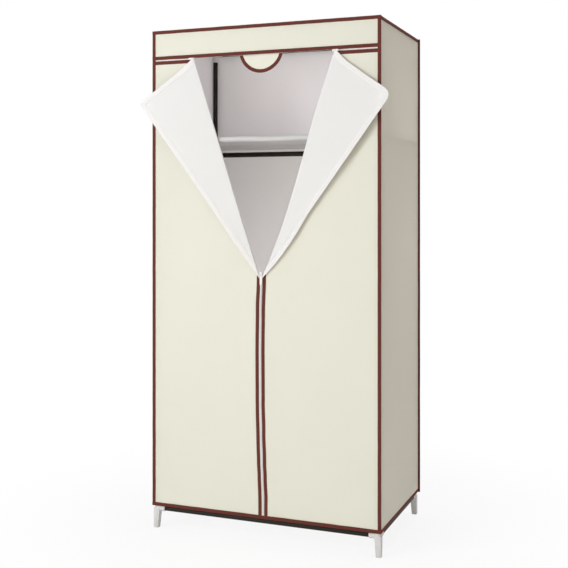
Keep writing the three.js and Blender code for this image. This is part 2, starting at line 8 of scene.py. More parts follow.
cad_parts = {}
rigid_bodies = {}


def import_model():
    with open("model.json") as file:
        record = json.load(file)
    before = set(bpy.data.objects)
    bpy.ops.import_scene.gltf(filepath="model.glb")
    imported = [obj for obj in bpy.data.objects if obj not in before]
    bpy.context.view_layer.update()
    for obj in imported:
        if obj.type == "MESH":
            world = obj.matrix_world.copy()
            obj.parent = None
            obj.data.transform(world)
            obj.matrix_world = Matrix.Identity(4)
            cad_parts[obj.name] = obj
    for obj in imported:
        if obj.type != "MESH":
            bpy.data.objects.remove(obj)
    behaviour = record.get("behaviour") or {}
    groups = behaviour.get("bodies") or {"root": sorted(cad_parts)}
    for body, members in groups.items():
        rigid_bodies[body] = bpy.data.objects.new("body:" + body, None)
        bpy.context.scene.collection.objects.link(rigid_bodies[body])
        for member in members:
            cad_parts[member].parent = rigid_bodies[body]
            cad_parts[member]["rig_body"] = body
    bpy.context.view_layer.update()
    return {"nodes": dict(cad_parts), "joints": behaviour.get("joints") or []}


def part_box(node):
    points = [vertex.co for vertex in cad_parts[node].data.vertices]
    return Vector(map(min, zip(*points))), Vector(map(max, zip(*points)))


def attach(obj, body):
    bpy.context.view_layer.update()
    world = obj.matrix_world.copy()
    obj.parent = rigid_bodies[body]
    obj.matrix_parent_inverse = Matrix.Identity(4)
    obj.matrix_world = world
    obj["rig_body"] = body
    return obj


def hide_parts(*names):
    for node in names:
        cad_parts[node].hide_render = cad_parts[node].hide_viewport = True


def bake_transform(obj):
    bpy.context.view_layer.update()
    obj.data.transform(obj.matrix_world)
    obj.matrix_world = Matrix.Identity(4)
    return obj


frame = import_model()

scene = bpy.context.scene
print("frame loaded")

# Places taken from the frame
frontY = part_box("header")[0].y  # outside of the front cloth
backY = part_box("cover_back")[1].y  # outside of the back cloth
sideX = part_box("cover_right")[1].x  # outside of the side cloth
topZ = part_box("cover_top")[1].z  # outside of the top cloth
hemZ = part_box("door_left")[0].z
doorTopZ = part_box("door_left")[1].z
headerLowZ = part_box("header")[0].z
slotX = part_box("door_right")[0].x  # half the width of the central slot
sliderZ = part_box("zip_slider")[0].z
shelfZ = (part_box("shelf_rail_front")[0].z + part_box("shelf_rail_front")[1].z) / 2
bindingLow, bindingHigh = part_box("edge_binding")
weldDistance = 0.00001  # points closer than this are one point


# Small helpers for working on one piece at a time

def grab(piece):
    if bpy.context.object and bpy.context.object.mode != "OBJECT":
        bpy.ops.object.mode_set(mode="OBJECT")
    bpy.ops.object.select_all(action="DESELECT")
    piece.select_set(True)
    bpy.context.view_layer.objects.active = piece


def editAll(piece):
    grab(piece)
    bpy.ops.object.mode_set(mode="EDIT")
    bpy.ops.mesh.select_all(action="SELECT")


def weldAll(piece):
    # Leaves the piece in edit mode
    editAll(piece)
    bpy.ops.mesh.remove_doubles(threshold=weldDistance)


def added(name):
    piece = bpy.context.object
    piece.name = name
    piece.data.name = name
    return piece


def settle(piece):
    grab(piece)
    bpy.ops.object.transform_apply(location=True, rotation=True, scale=True)
    return piece


def applyAll(piece):
    grab(piece)
    for modifier in list(piece.modifiers):
        bpy.ops.object.modifier_apply(modifier=modifier.name)


def smooth(piece, degrees):
    grab(piece)
    bpy.ops.object.shade_smooth_by_angle(angle=radians(degrees))
    return piece


def addBevel(piece, width, segments=2, degrees=30):
    # Softens every edge that turns by more than the given angle
    bevel = piece.modifiers.new("edge", "BEVEL")
    bevel.width = width
    bevel.segments = segments
    bevel.angle_limit = radians(degrees)


def turnOver(piece):
    editAll(piece)
    bpy.ops.mesh.flip_normals()
    bpy.ops.object.mode_set(mode="OBJECT")


def joinPieces(name, pieces):
    grab(pieces[0])
    for piece in pieces[1:]:
        piece.select_set(True)
    bpy.ops.object.join()
    return added(name)


def ease(t):
    t = min(1.0, max(0.0, t))
    return t * t * (3 - 2 * t)


def eased(knots, t):
    # A smooth line through (place, value) knots
    for (a, first), (b, second) in zip(knots, knots[1:]):
        if t <= b:
            return first + (second - first) * ease((t - a) / (b - a))
    return knots[-1][1]


def waver(x, z, scale, seed):
    # A smooth random value; the scales say how fast it changes along x and z
    return noise.noise(Vector((x * scale[0], z * scale[1], seed)))


def finishPiece(piece, body, slot, *nodes):
    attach(piece, body)
    if nodes:
        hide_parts(*nodes)


# Camera: level, and shifted as the photo's framing needs
cameraValues = {
    "location": (1.1475, -2.9397, 1.0264),
    "turn": 21.516,
    "lens": 61.86,
    "sensorWidth": 36,
    "shiftY": -0.1417,
    "farEnd": 60,
}

bpy.ops.object.camera_add(location=cameraValues["location"],
                          rotation=(radians(90), 0, radians(cameraValues["turn"])))
camera = added("view_camera")
camera.data.lens = cameraValues["lens"]
camera.data.sensor_width = cameraValues["sensorWidth"]
camera.data.shift_y = cameraValues["shiftY"]
camera.data.clip_end = cameraValues["farEnd"]
scene.camera = camera

# Stage and lights
stageValues = {
    "floorSize": 24,
    "tone": 0.93,
    "whiteNear": 0.86,  # share of plain white under the object, which leaves its shadow
    "whiteFrom": 0.45,  # from here on outwards the white grows
    "whiteTo": 1.3,  # and here it is all white
}
# The upper and lower lamps hang inside, for the light that the thin cloth spreads there
lightValues = {
    "key": {"place": (-2.2, -3.4, 2.3), "aim": (0.0, -0.1, 0.9), "size": 2.4, "watts": 116,
            "tint": (1, 1, 1)},
    "fill": {"place": (3.3, -1.3, 1.5), "aim": (0.2, 0.0, 0.8), "size": 2.2, "watts": 13.5,
             "tint": (1, 0.68, 0.47)},
    "front": {"place": (0.5, -3.2, 0.5), "aim": (0.0, 0.0, 0.5), "size": 1.6, "watts": 15,
              "tint": (1, 0.965, 0.68)},
    "top": {"place": (0.2, 0.5, 3.4), "aim": (0.0, 0.1, 0.8), "size": 1.6, "watts": 46,
            "tint": (1, 0.97, 0.99)},
    "upper": {"place": (0.02, -0.12, 1.4), "aim": (0.02, 0.3, 1.4), "size": 0.3, "watts": 0.35,
              "tint": (1, 0.9, 0.96)},
    "lower": {"place": (0.0, -0.12, 0.75), "aim": (0.0, 0.3, 0.85), "size": 0.5, "watts": 0.7,
              "tint": (1, 0.95, 0.9)},
}
worldStrength = 0.3  # light from all round


def mathNode(tree, operation, a, b=None, c=None, clamp=False):
    node = tree.nodes.new("ShaderNodeMath")
    node.operation = operation
    node.use_clamp = clamp
    for i, value in enumerate((a, b, c)):
        if value is None:
            continue
        if isinstance(value, (int, float)):
            node.inputs[i].default_value = value
        else:
            tree.links.new(value, node.inputs[i])
    return node.outputs[0]


def whiteShare(tree, seenShare):
    # Camera, mirror and see-through rays get the white; light rays don't
    seen = tree.nodes.new("ShaderNodeLightPath")
    either = mathNode(tree, "MAXIMUM", seen.outputs["Is Camera Ray"], seen.outputs["Is Glossy Ray"])
    either = mathNode(tree, "MAXIMUM", either, seen.outputs["Is Transmission Ray"])
    return mathNode(tree, "MULTIPLY", either, seenShare)


def mixShaders(tree, share, first, second, output):
    mix = tree.nodes.new("ShaderNodeMixShader")
    if isinstance(share, float):
        mix.inputs[0].default_value = share
    else:
        tree.links.new(share, mix.inputs[0])
    tree.links.new(first.outputs[0], mix.inputs[1])
    tree.links.new(second.outputs[0], mix.inputs[2])
    tree.links.new(mix.outputs[0], output.inputs["Surface"])


def makeStage():
    values = stageValues
    bpy.ops.mesh.primitive_plane_add(size=values["floorSize"], location=(0, 0, 0))
    floor = added("floor")
    material = bpy.data.materials.new("pale_floor")
    material.use_nodes = True
    tree = material.node_tree
    tree.nodes.clear()
    output = tree.nodes.new("ShaderNodeOutputMaterial")
    diffuse = tree.nodes.new("ShaderNodeBsdfDiffuse")
    diffuse.inputs["Color"].default_value = (values["tone"],) * 3 + (1,)
    glow = tree.nodes.new("ShaderNodeEmission")
    glow.inputs["Color"].default_value = (1, 1, 1, 1)
    place = tree.nodes.new("ShaderNodeTexCoord").outputs["Object"]
    length = tree.nodes.new("ShaderNodeVectorMath")
    length.operation = "LENGTH"
    tree.links.new(place, length.inputs[0])
    rise = tree.nodes.new("ShaderNodeMapRange")
    rise.interpolation_type = "SMOOTHSTEP"
    for label, value in (("From Min", values["whiteFrom"]), ("From Max", values["whiteTo"]),
                         ("To Min", values["whiteNear"]), ("To Max", 1.0)):
        rise.inputs[label].default_value = value
    tree.links.new(length.outputs["Value"], rise.inputs["Value"])
    mixShaders(tree, whiteShare(tree, rise.outputs[0]), diffuse, glow, output)
    floor.data.materials.append(material)


def makeWorld():
    world = bpy.data.worlds.new("studio")
    scene.world = world
    world.use_nodes = True
    tree = world.node_tree
    tree.nodes.clear()
    output = tree.nodes.new("ShaderNodeOutputWorld")
    room, backdrop = (tree.nodes.new("ShaderNodeBackground") for i in range(2))
    for light, strength in ((room, worldStrength), (backdrop, 1)):
        light.inputs["Color"].default_value = (1, 1, 1, 1)
        light.inputs["Strength"].default_value = strength
    mixShaders(tree, whiteShare(tree, 1.0), room, backdrop, output)


def makeLights():
    for name, values in lightValues.items():
        bpy.ops.object.light_add(type="AREA", location=values["place"])
        lamp = bpy.context.object
        lamp.name = name + "_light"
        lamp.data.size = values["size"]
        lamp.data.energy = values["watts"]
        lamp.data.color = values["tint"]
        lamp.visible_camera = False
        direction = Vector(values["aim"]) - Vector(values["place"])
        lamp.rotation_euler = direction.to_track_quat("-Z", "Y").to_euler()


makeStage()
makeWorld()
makeLights()
scene.view_settings.view_transform = "Standard"
print("camera, stage and lights ready")


# Shared shader groups: each puts out heights and masks only

def newGroup(name, inputs, outputs):
    # Every group reads a vector and some numbers, and puts out numbers
    group = bpy.data.node_groups.new(name, "ShaderNodeTree")
    group.interface.new_socket("Vector", in_out="INPUT", socket_type="NodeSocketVector")
    for label, value in inputs.items():
        socket = group.interface.new_socket(label, in_out="INPUT", socket_type="NodeSocketFloat")
        socket.default_value = value
    for label in outputs:
        group.interface.new_socket(label, in_out="OUTPUT", socket_type="NodeSocketFloat")
    return group, group.nodes.new("NodeGroupInput"), group.nodes.new("NodeGroupOutput")


def putOut(group, out, *results):
    for result, socket in zip(results, out.inputs):
        group.links.new(result, socket)
    return group


def noiseNode(tree, vector, scale, detail, roughness, stretch=None):
    if stretch:
        mapping = tree.nodes.new("ShaderNodeMapping")
        mapping.inputs["Scale"].default_value = stretch
        tree.links.new(vector, mapping.inputs["Vector"])
        vector = mapping.outputs[0]
    node = tree.nodes.new("ShaderNodeTexNoise")
    node.inputs["Scale"].default_value = scale
    node.inputs["Detail"].default_value = detail
    node.inputs["Roughness"].default_value = roughness
    tree.links.new(vector, node.inputs["Vector"])
    return node.outputs["Fac"]


spunbondValues = {
    "dotPitch": 0.0016,
    "dotSharpness": 3.2,
    "dotFlatness": 1.8,
    "fibreScale": 2400,
    "fibreStretch": (1.0, 0.22, 1.0),
    "crossScale": 2100,
    "crossStretch": (0.25, 1.0, 1.0),
    "cloudScale": 7,
    "weaveHeight": 0.35,
}


def makeSpunbond():
    # Non-woven cloth: rows of small pressed dots, loose fibres between them, cloudy thickness
    values = spunbondValues
    group, into, out = newGroup("spunbond_cloth", {"Dot Pitch": values["dotPitch"]},
                                ("Height", "Dots", "Cloud"))
    split = group.nodes.new("ShaderNodeSeparateXYZ")
    group.links.new(into.outputs["Vector"], split.inputs[0])
    u = mathNode(group, "DIVIDE", split.outputs[0], into.outputs["Dot Pitch"])
    v = mathNode(group, "DIVIDE", split.outputs[1], into.outputs["Dot Pitch"])
    row = mathNode(group, "FLOOR", v)
    shifted = mathNode(group, "MULTIPLY_ADD", mathNode(group, "PINGPONG", row, 1), 0.5, u)
    cellU = mathNode(group, "SUBTRACT", mathNode(group, "FRACT", shifted), 0.5)
    cellV = mathNode(group, "SUBTRACT", mathNode(group, "FRACT", v), 0.5)
    distance = mathNode(group, "SQRT", mathNode(
        group, "ADD", mathNode(group, "MULTIPLY", cellU, cellU),
        mathNode(group, "MULTIPLY", mathNode(group, "MULTIPLY", cellV, cellV), values["dotFlatness"])))
    dot = mathNode(group, "SUBTRACT", 1.0, mathNode(
        group, "MULTIPLY", distance, values["dotSharpness"]), clamp=True)
    vector = into.outputs["Vector"]
    fibres = noiseNode(group, vector, values["fibreScale"], 2, 0.6, values["fibreStretch"])
    crossed = noiseNode(group, vector, values["crossScale"], 2, 0.6, values["crossStretch"])
    cloud = noiseNode(group, vector, values["cloudScale"], 4, 0.6)
    weave = mathNode(group, "ADD", fibres, crossed)
    height = mathNode(group, "SUBTRACT", mathNode(
        group, "MULTIPLY", weave, values["weaveHeight"]), dot)
    return putOut(group, out, height, dot, cloud)


wovenValues = {
    "ribPitch": 0.0009,
    "ribHeight": 0.3,
    "cordScale": 60.0,
    "stitchPitch": 0.0034,
    "stitchPlace": 0.8,
    "stitchThinness": 22.0,
    "stitchGap": 2.3,
    "threadHeight": 0.35,
    "mottleScale": 60,
    "mottleStretch": (1.0, 0.3, 1.0),
}


def makeTapeRib():
    # Woven tape: fine ribs across it and a line of stitches near one edge
    values = wovenValues
    group, into, out = newGroup("woven_tape", {
        "Rib Pitch": values["ribPitch"],
        "Stitch Pitch": values["stitchPitch"],
        "Stitch Place": values["stitchPlace"],
    }, ("Height", "Stitch", "Mottle"))
    split = group.nodes.new("ShaderNodeSeparateXYZ")
    group.links.new(into.outputs["Vector"], split.inputs[0])
    along = split.outputs[0]
    across = split.outputs[1]
    rib = mathNode(group, "SINE", mathNode(
        group, "MULTIPLY", mathNode(group, "DIVIDE", along, into.outputs["Rib Pitch"]), 2 * pi))
    cord = mathNode(group, "SINE", mathNode(group, "MULTIPLY", across, values["cordScale"]))
    offset = mathNode(group, "ABSOLUTE", mathNode(
        group, "SUBTRACT", across, into.outputs["Stitch Place"]))
    line = mathNode(group, "SUBTRACT", 1.0, mathNode(
        group, "MULTIPLY", offset, values["stitchThinness"]), clamp=True)
    step = mathNode(group, "FRACT", mathNode(group, "DIVIDE", along, into.outputs["Stitch Pitch"]))
    fromMiddle = mathNode(group, "ABSOLUTE", mathNode(group, "SUBTRACT", step, 0.5))
    dash = mathNode(group, "SUBTRACT", 1.0, mathNode(
        group, "MULTIPLY", fromMiddle, values["stitchGap"]), clamp=True)
    stitch = mathNode(group, "MULTIPLY", line, dash)
    mottle = noiseNode(group, into.outputs["Vector"], values["mottleScale"], 3, 0.6,
                       values["mottleStretch"])
    threads = mathNode(group, "ADD", cord, stitch)
    height = mathNode(group, "ADD", mathNode(group, "MULTIPLY", rib, values["ribHeight"]),
                      mathNode(group, "MULTIPLY", threads, values["threadHeight"]))
    return putOut(group, out, height, stitch, mottle)


wearValues = {
    "grain": 900,
    "scratchScale": 130,
    "scratchStretch": (1.0, 1.0, 14.0),
    "scratchGain": 6.0,
    "scratchFrom": 4.1,
    "dustScale": 35,
    "dustGain": 3.0,
    "dustFrom": 1.5,
    "sheenScale": 14,
}


def makeSurfaceWear():
    # Faint handling marks: fine scratches, dust and an uneven sheen
    values = wearValues
    group, into, out = newGroup("surface_wear", {"Grain": values["grain"]}, ("Height", "Dust", "Sheen"))
    grain = group.nodes.new("ShaderNodeTexNoise")
    group.links.new(into.outputs["Vector"], grain.inputs["Vector"])
    group.links.new(into.outputs["Grain"], grain.inputs["Scale"])
    grain.inputs["Detail"].default_value = 2
    scratch = noiseNode(group, into.outputs["Vector"], values["scratchScale"], 2, 0.5,
                        values["scratchStretch"])
    thin = mathNode(group, "SUBTRACT", mathNode(
        group, "MULTIPLY", scratch, values["scratchGain"]), values["scratchFrom"], clamp=True)
    specks = noiseNode(group, into.outputs["Vector"], values["dustScale"], 5, 0.7)
    dust = mathNode(group, "SUBTRACT", mathNode(
        group, "MULTIPLY", specks, values["dustGain"]), values["dustFrom"], clamp=True)
    sheen = noiseNode(group, into.outputs["Vector"], values["sheenScale"], 3, 0.5)
    height = mathNode(group, "SUBTRACT", grain.outputs["Fac"], thin)
    return putOut(group, out, height, dust, sheen)


spunbond = makeSpunbond()
wovenTape = makeTapeRib()
surfaceWear = makeSurfaceWear()


# Materials

def newMaterial(name):
    material = bpy.data.materials.new(name)
    material.use_nodes = True
    tree = material.node_tree
    return material, tree, tree.nodes["Principled BSDF"]


def placeGroup(tree, group, vector, values):
    node = tree.nodes.new("ShaderNodeGroup")
    node.node_tree = group
    tree.links.new(vector, node.inputs["Vector"])
    for label, value in values.items():
        node.inputs[label].default_value = value
    return node


def uvOf(tree):
    node = tree.nodes.new("ShaderNodeUVMap")
    node.uv_map = "cut"
    return node.outputs[0]


def objectOf(tree):
    return tree.nodes.new("ShaderNodeTexCoord").outputs["Object"]


def blendColor(tree, factor, first, second, amount):
    mix = tree.nodes.new("ShaderNodeMix")
    mix.data_type = "RGBA"
    scaled = mathNode(tree, "MULTIPLY", factor, amount, clamp=True)
    tree.links.new(scaled, mix.inputs["Factor"])
    for socket, value in ((mix.inputs["A"], first), (mix.inputs["B"], second)):
        if isinstance(value, tuple):
            socket.default_value = (*value, 1)
        else:
            tree.links.new(value, socket)
    return mix.outputs["Result"]


def addBump(tree, shader, height, strength, distance):
    bump = tree.nodes.new("ShaderNodeBump")
    bump.inputs["Strength"].default_value = strength
    bump.inputs["Distance"].default_value = distance
    tree.links.new(height, bump.inputs["Height"])
    tree.links.new(bump.outputs[0], shader.inputs["Normal"])


clothShading = {
    "through": 0.34,  # share of the light that goes through
    "glow": (0.88, 0.83, 0.81, 1),
    "cloud": 0.55,
    "dots": 0.22,
    "rough": 0.86,
    "dotRough": -0.12,  # the pressed dots are smoother
    "shine": 0.2,
    "bump": 0.5,
    "relief": 0.00012,
}
tapeShading = {"mottle": 0.8, "thread": 0.6, "rough": 0.8, "shine": 0.15, "bump": 0.55, "relief": 0.00015}
hardShading = {"sheen": 0.14, "bump": 0.15, "relief": 0.00008}


def clothMaterial(name, base, shade):
    # Thin cloth: some of the light goes through it
    values = clothShading
    material, tree, shader = newMaterial(name)
    cloth = placeGroup(tree, spunbond, uvOf(tree), {"Dot Pitch": spunbondValues["dotPitch"]})
    tone = blendColor(tree, cloth.outputs["Cloud"], base, shade, values["cloud"])
    color = blendColor(tree, cloth.outputs["Dots"], tone, shade, values["dots"])
    tree.links.new(color, shader.inputs["Base Color"])
    roughness = mathNode(tree, "MULTIPLY_ADD", cloth.outputs["Dots"], values["dotRough"], values["rough"])
    tree.links.new(roughness, shader.inputs["Roughness"])
    shader.inputs["Specular IOR Level"].default_value = values["shine"]
    addBump(tree, shader, cloth.outputs["Height"], values["bump"], values["relief"])
    through = tree.nodes.new("ShaderNodeBsdfTranslucent")
    through.inputs["Color"].default_value = values["glow"]
    mixShaders(tree, values["through"], shader, through, tree.nodes["Material Output"])
    return material


def tapeMaterial(name, base, shade, thread, stitchPlace=0.83, sheen=0.03):
    values = tapeShading
    material, tree, shader = newMaterial(name)
    tape = placeGroup(tree, wovenTape, uvOf(tree), {"Stitch Place": stitchPlace})
    tone = blendColor(tree, tape.outputs["Mottle"], base, shade, values["mottle"])
    color = blendColor(tree, tape.outputs["Stitch"], tone, thread, values["thread"])
    tree.links.new(color, shader.inputs["Base Color"])
    shader.inputs["Roughness"].default_value = values["rough"]
    shader.inputs["Sheen Weight"].default_value = sheen
    shader.inputs["Specular IOR Level"].default_value = values["shine"]
    addBump(tree, shader, tape.outputs["Height"], values["bump"], values["relief"])
    return material


def hardMaterial(name, base, dustColor, rough, grain, dustAmount, shine=0.5):
    values = hardShading
    material, tree, shader = newMaterial(name)
    wear = placeGroup(tree, surfaceWear, objectOf(tree), {"Grain": grain})
    color = blendColor(tree, wear.outputs["Dust"], base, dustColor, dustAmount)
    tree.links.new(color, shader.inputs["Base Color"])
    roughness = mathNode(tree, "MULTIPLY_ADD", wear.outputs["Sheen"], values["sheen"], rough)
    tree.links.new(roughness, shader.inputs["Roughness"])
    shader.inputs["Specular IOR Level"].default_value = shine
    addBump(tree, shader, wear.outputs["Height"], values["bump"], values["relief"])
    return material


creamCloth = clothMaterial("cream_cloth", (0.865, 0.885, 0.775), (0.81, 0.828, 0.705))
whiteCloth = clothMaterial("white_lining", (0.93, 0.955, 1.0), (0.895, 0.92, 0.965))
shelfMaterial = clothMaterial("shelf_lining", (0.77, 0.78, 0.80), (0.70, 0.705, 0.72))
brownTape = tapeMaterial("brown_binding", (0.10, 0.024, 0.018), (0.145, 0.04, 0.03), (0.19, 0.07, 0.052))
zipTape = tapeMaterial("zip_tape", (0.79, 0.785, 0.795), (0.74, 0.735, 0.745), (0.84, 0.835, 0.845),
                       stitchPlace=0.4, sheen=0.05)
blackEnamel = hardMaterial("black_enamel", (0.010, 0.0070, 0.004), (0.024, 0.018, 0.013),
                           rough=0.42, grain=500, dustAmount=0.15, shine=0.22)
whiteMoulding = hardMaterial("white_moulding", (0.64, 0.64, 0.65), (0.53, 0.52, 0.50),
                             rough=0.36, grain=1300, dustAmount=0.2)
zipPlastic = hardMaterial("zip_plastic", (0.82, 0.805, 0.81), (0.72, 0.69, 0.66),
                          rough=0.26, grain=1500, dustAmount=0.2)
print("materials ready")


# Sheets: a flat grid carries its cut as a UV map and is then laid on a curved surface.
# A surface gives the place of a point (x, y, lift) of the flat piece; lift goes outwards.

def flatGrid(name, low, high, columns, rows):
    bpy.ops.mesh.primitive_grid_add(x_subdivisions=columns, y_subdivisions=rows, size=1,
                                    location=((low[0] + high[0]) / 2, (low[1] + high[1]) / 2, 0))
    piece = added(name)
    piece.scale = (high[0] - low[0], high[1] - low[1], 1)
    return settle(piece)


def writeCut(piece):
    # The flat x and y of every point become the piece's own UV map, in metres
    for other in list(piece.data.uv_layers):
        piece.data.uv_layers.remove(other)
    layer = piece.data.uv_layers.new(name="cut")
    for loop in piece.data.loops:
        spot = piece.data.vertices[loop.vertex_index].co
        layer.data[loop.index].uv = (spot.x, spot.y)


# Small steps of a flat point, which show how a surface lies
probeSteps = [Vector(step) for step in ((0.001, 0, 0), (0, 0.001, 0), (0, 0, 0.001))]


def lay(piece, surface):
    # A surface that mirrors the flat piece also turns it inside out, so its faces are turned back
    first = piece.data.vertices[0].co.copy()
    start = surface(*first)
    ahead, beside, above = (surface(*(first + step)) - start for step in probeSteps)
    mirrored = ahead.cross(beside).dot(above) < 0
    for vertex in piece.data.vertices:
        vertex.co = surface(*vertex.co)
    piece.data.update()
    if mirrored:
        turnOver(piece)


def thicken(piece, thickness, inner=0):
    solid = piece.modifiers.new("thickness", "SOLIDIFY")
    solid.thickness = thickness
    solid.offset = -1
    solid.material_offset = inner
    solid.use_even_offset = True
    applyAll(piece)


clothThickness = 0.0006


def clothPiece(piece, surface, outside, inside):
    writeCut(piece)
    lay(piece, surface)
    piece.data.materials.append(outside)
    piece.data.materials.append(inside)
    thicken(piece, clothThickness, 1)
    return smooth(piece, 60)


# Bound edges. A strip runs along a surface; its cross-section is a folded tape with soft edges.
bindingValues = {
    "width": 0.011,
    "height": 0.0011,
    "profile": ((0, 0), (0.02, 0.55), (0.09, 0.95), (0.3, 1.0), (0.55, 1.0), (0.74, 0.92), (0.8, 0.72),
                (0.86, 0.9), (0.93, 0.85), (0.98, 0.5), (1, 0)),
    "step": 0.006,
    "pucker": 0.07,
    "puckerPitch": 0.0175,
    "puckerNoise": 1.6,
    "puckerScale": 40,
    "sway": 0.0003,
    "swayScale": 22,
    "thickness": 0.0003,
}
tapeValues = dict(bindingValues, width=0.0165, height=0.0006, pucker=0.03, profile=(
    (0, 0), (0.02, 0.7), (0.22, 0.7), (0.27, 1.2), (0.32, 0.7), (0.56, 0.7), (0.61, 1.2), (0.66, 0.7),
    (0.98, 0.7), (1, 0)))


def boundStrip(name, length, surface, material=None, values=bindingValues):
    # surface(along, across, lift): across starts at the tape's outer edge
    count = len(values["profile"]) - 1
    strip = flatGrid(name, (0, 0), (length, 1), max(2, round(length / values["step"])), count)
    for vertex in strip.data.vertices:
        vertex.co.y = values["profile"][round(vertex.co.y * count)][0]
    writeCut(strip)

    def place(along, across, lift):
        share = min(values["profile"], key=lambda p: abs(p[0] - across))[1]
        uneven = noise.noise(Vector((along * values["puckerScale"], across, 1)))
        pucker = 1 + values["pucker"] * (
            sin(2 * pi * along / values["puckerPitch"]) + values["puckerNoise"] * uneven)
        sway = values["sway"] * noise.noise(Vector((along * values["swayScale"], 0, 4)))
        return surface(along, across * values["width"] + sway, values["height"] * share * pucker + lift)

    lay(strip, place)
    strip.data.materials.append(material or brownTape)
    thicken(strip, values["thickness"])
    return smooth(strip, 50)


# Zip teeth: one small rounded tooth, repeated along a flat line and laid where the zip runs
teethValues = {"pitch": 0.0015, "length": 0.00115, "width": 0.0024, "height": 0.0011, "round": 0.0003}


def zipTeeth(name, length, surface, width=teethValues["width"]):
    values = teethValues
    bpy.ops.mesh.primitive_cube_add(size=1, location=(values["pitch"] / 2, 0, 0))
    teeth = added(name)
    teeth.scale = (values["length"], width, values["height"])
    settle(teeth)
    addBevel(teeth, values["round"], segments=1)
    row = teeth.modifiers.new("row", "ARRAY")
    row.use_relative_offset = False
    row.use_constant_offset = True
    row.constant_offset_displace = (values["pitch"], 0, 0)
    row.count = int(length / values["pitch"])
    applyAll(teeth)
    lay(teeth, surface)
    teeth.data.materials.append(zipPlastic)
    return smooth(teeth, 50)


# Front doors. A point of the flat door is laid on the door, round the fold or on the turned corner.
foldJoint = next(j for j in frame["joints"] if j["name"] == "flap_right_fold")
foldTop = Vector((foldJoint["pos_m"][0], doorTopZ))
foldDown = Vector((foldJoint["axis"][0], foldJoint["axis"][2])).normalized()
foldIn = Vector((foldDown.y, -foldDown.x))
foldLength = (foldTop.x - slotX) / -foldDown.x
doorValues = {
    "step": 0.009,
    "foldRadius": 0.0022,
    "foldRows": (0, 15, 30, 45, 60, 120, 135, 150, 165, 180),
    "tilt": 180 - foldJoint["range_deg"][1],  # the turned corner stands off the door by this angle
    "blend": (0.0004, 0.0009),  # in front of the door, where the turned corner starts
    "bow": {1: 0.013, -1: 0.002},  # the fold bulges out on the right (1) and left (-1)
    "bowSkew": 1.8,
    "bowTop": {1: 0.005, -1: 0.0},
    "bowTopShare": 0.4,
    "bowReach": 0.08,
    "recess": 0.0015,  # the door is pressed in beside the fold
    "recessReach": 0.07,
    "cornerRound": {1: 0.019, -1: 0.006},
    "lifted": 0.0010,  # the top edge is pulled up a little towards the header
    "liftedShare": 0.15,
    "liftedReach": 0.1,
    "sag": {  # how far the turned top edge hangs: (share of it, depth)
        1: ((0, 0), (0.25, 0.0032), (0.5, 0.0024), (0.85, 0)),
        -1: ((0, 0), (0.3, 0.0032), (1, 0.0022)),
    },
    "sagReach": 0.15,
    "stretch": {1: 0.003, -1: 0.0},  # the zip edge of the turned corner is pulled out this far
    "stretchFrom": 0.85,
    "stretchReach": 0.12,
    "stretchDip": 0.6,
    "flutter": 0.0018,
    "flutterScale": (6, 4.5),
    "flutterReach": 0.08,
    "wave": 0.0019,
    "waveScale": (5, 2.2),
    "fineShare": 0.5,
    "fineScale": (11, 5),
    "belly": 0.0025,
    "reliefReach": (0.09, 0.07, 0.09, 0.07),  # it fades in from the side, slot, hem and top
    "driftReach": 0.3,
    "tapeOut": 0.0042,  # the zip tape stands out past the cloth, more along the top,
    "tapeOutTop": 0.0012,  # where the gap to the header is wider
    "tapeOutReach": (0.02, 0.04),
    "tapeGap": 0.0001,
    "teethOut": 0.00285,
    "teethOutTop": 0.0018,
    "teethGap": 0.0002,
    "teethEnd": 0.002,
}
# The cloth is sewn a little unevenly, so the zip leaves the middle: (height, x)
zipLine = ((0.0, 0.0042), (0.13, 0.0042), (0.20, 0.0017), (0.24, -0.0003), (0.33, -0.0028),
           (0.42, -0.0048), (0.58, -0.0055), (0.70, -0.0045), (0.80, -0.0014), (1.0, -0.0015))


def roundedCorner(side, x, z):
    radius = doorValues["cornerRound"][side]
    dx = slotX + radius - x
    dz = z - (doorTopZ - radius)
    if dx <= 0 or dz <= 0:
        return x, z
    scale = max(dx, dz) / sqrt(dx * dx + dz * dz)
    return slotX + radius - dx * scale, doorTopZ - radius + dz * scale


def doorRelief(side, x, z):
    # How far the hanging door stands out from its plane: it sinks in a little between its seams
    fromSide, fromSlot, fromHem, fromTop = doorValues["reliefReach"]
    sideMask = ease((sideX - x) / fromSide) * ease((x - slotX) / fromSlot)
    hemMask = ease((z - hemZ) / fromHem) * ease((doorTopZ - z) / fromTop)
    wave, fine = doorValues["waveScale"], doorValues["fineScale"]
    broad = noise.noise(Vector((x * wave[0] + 7 * side, z * wave[1], 3.1)))
    small = noise.noise(Vector((x * fine[0], z * fine[1] + 4 * side, 8.7)))
    ripple = broad + doorValues["fineShare"] * small
    return sideMask * hemMask * (doorValues["wave"] * ripple - doorValues["belly"])


def foldBow(side, down):
    # How far outside the straight fold line the cloth really turns
    share = min(1.0, max(0.0, down / foldLength))
    middle = doorValues["bow"][side] * sin(pi * share ** doorValues["bowSkew"])
    return middle + doorValues["bowTop"][side] * ease(1 - share / doorValues["bowTopShare"])


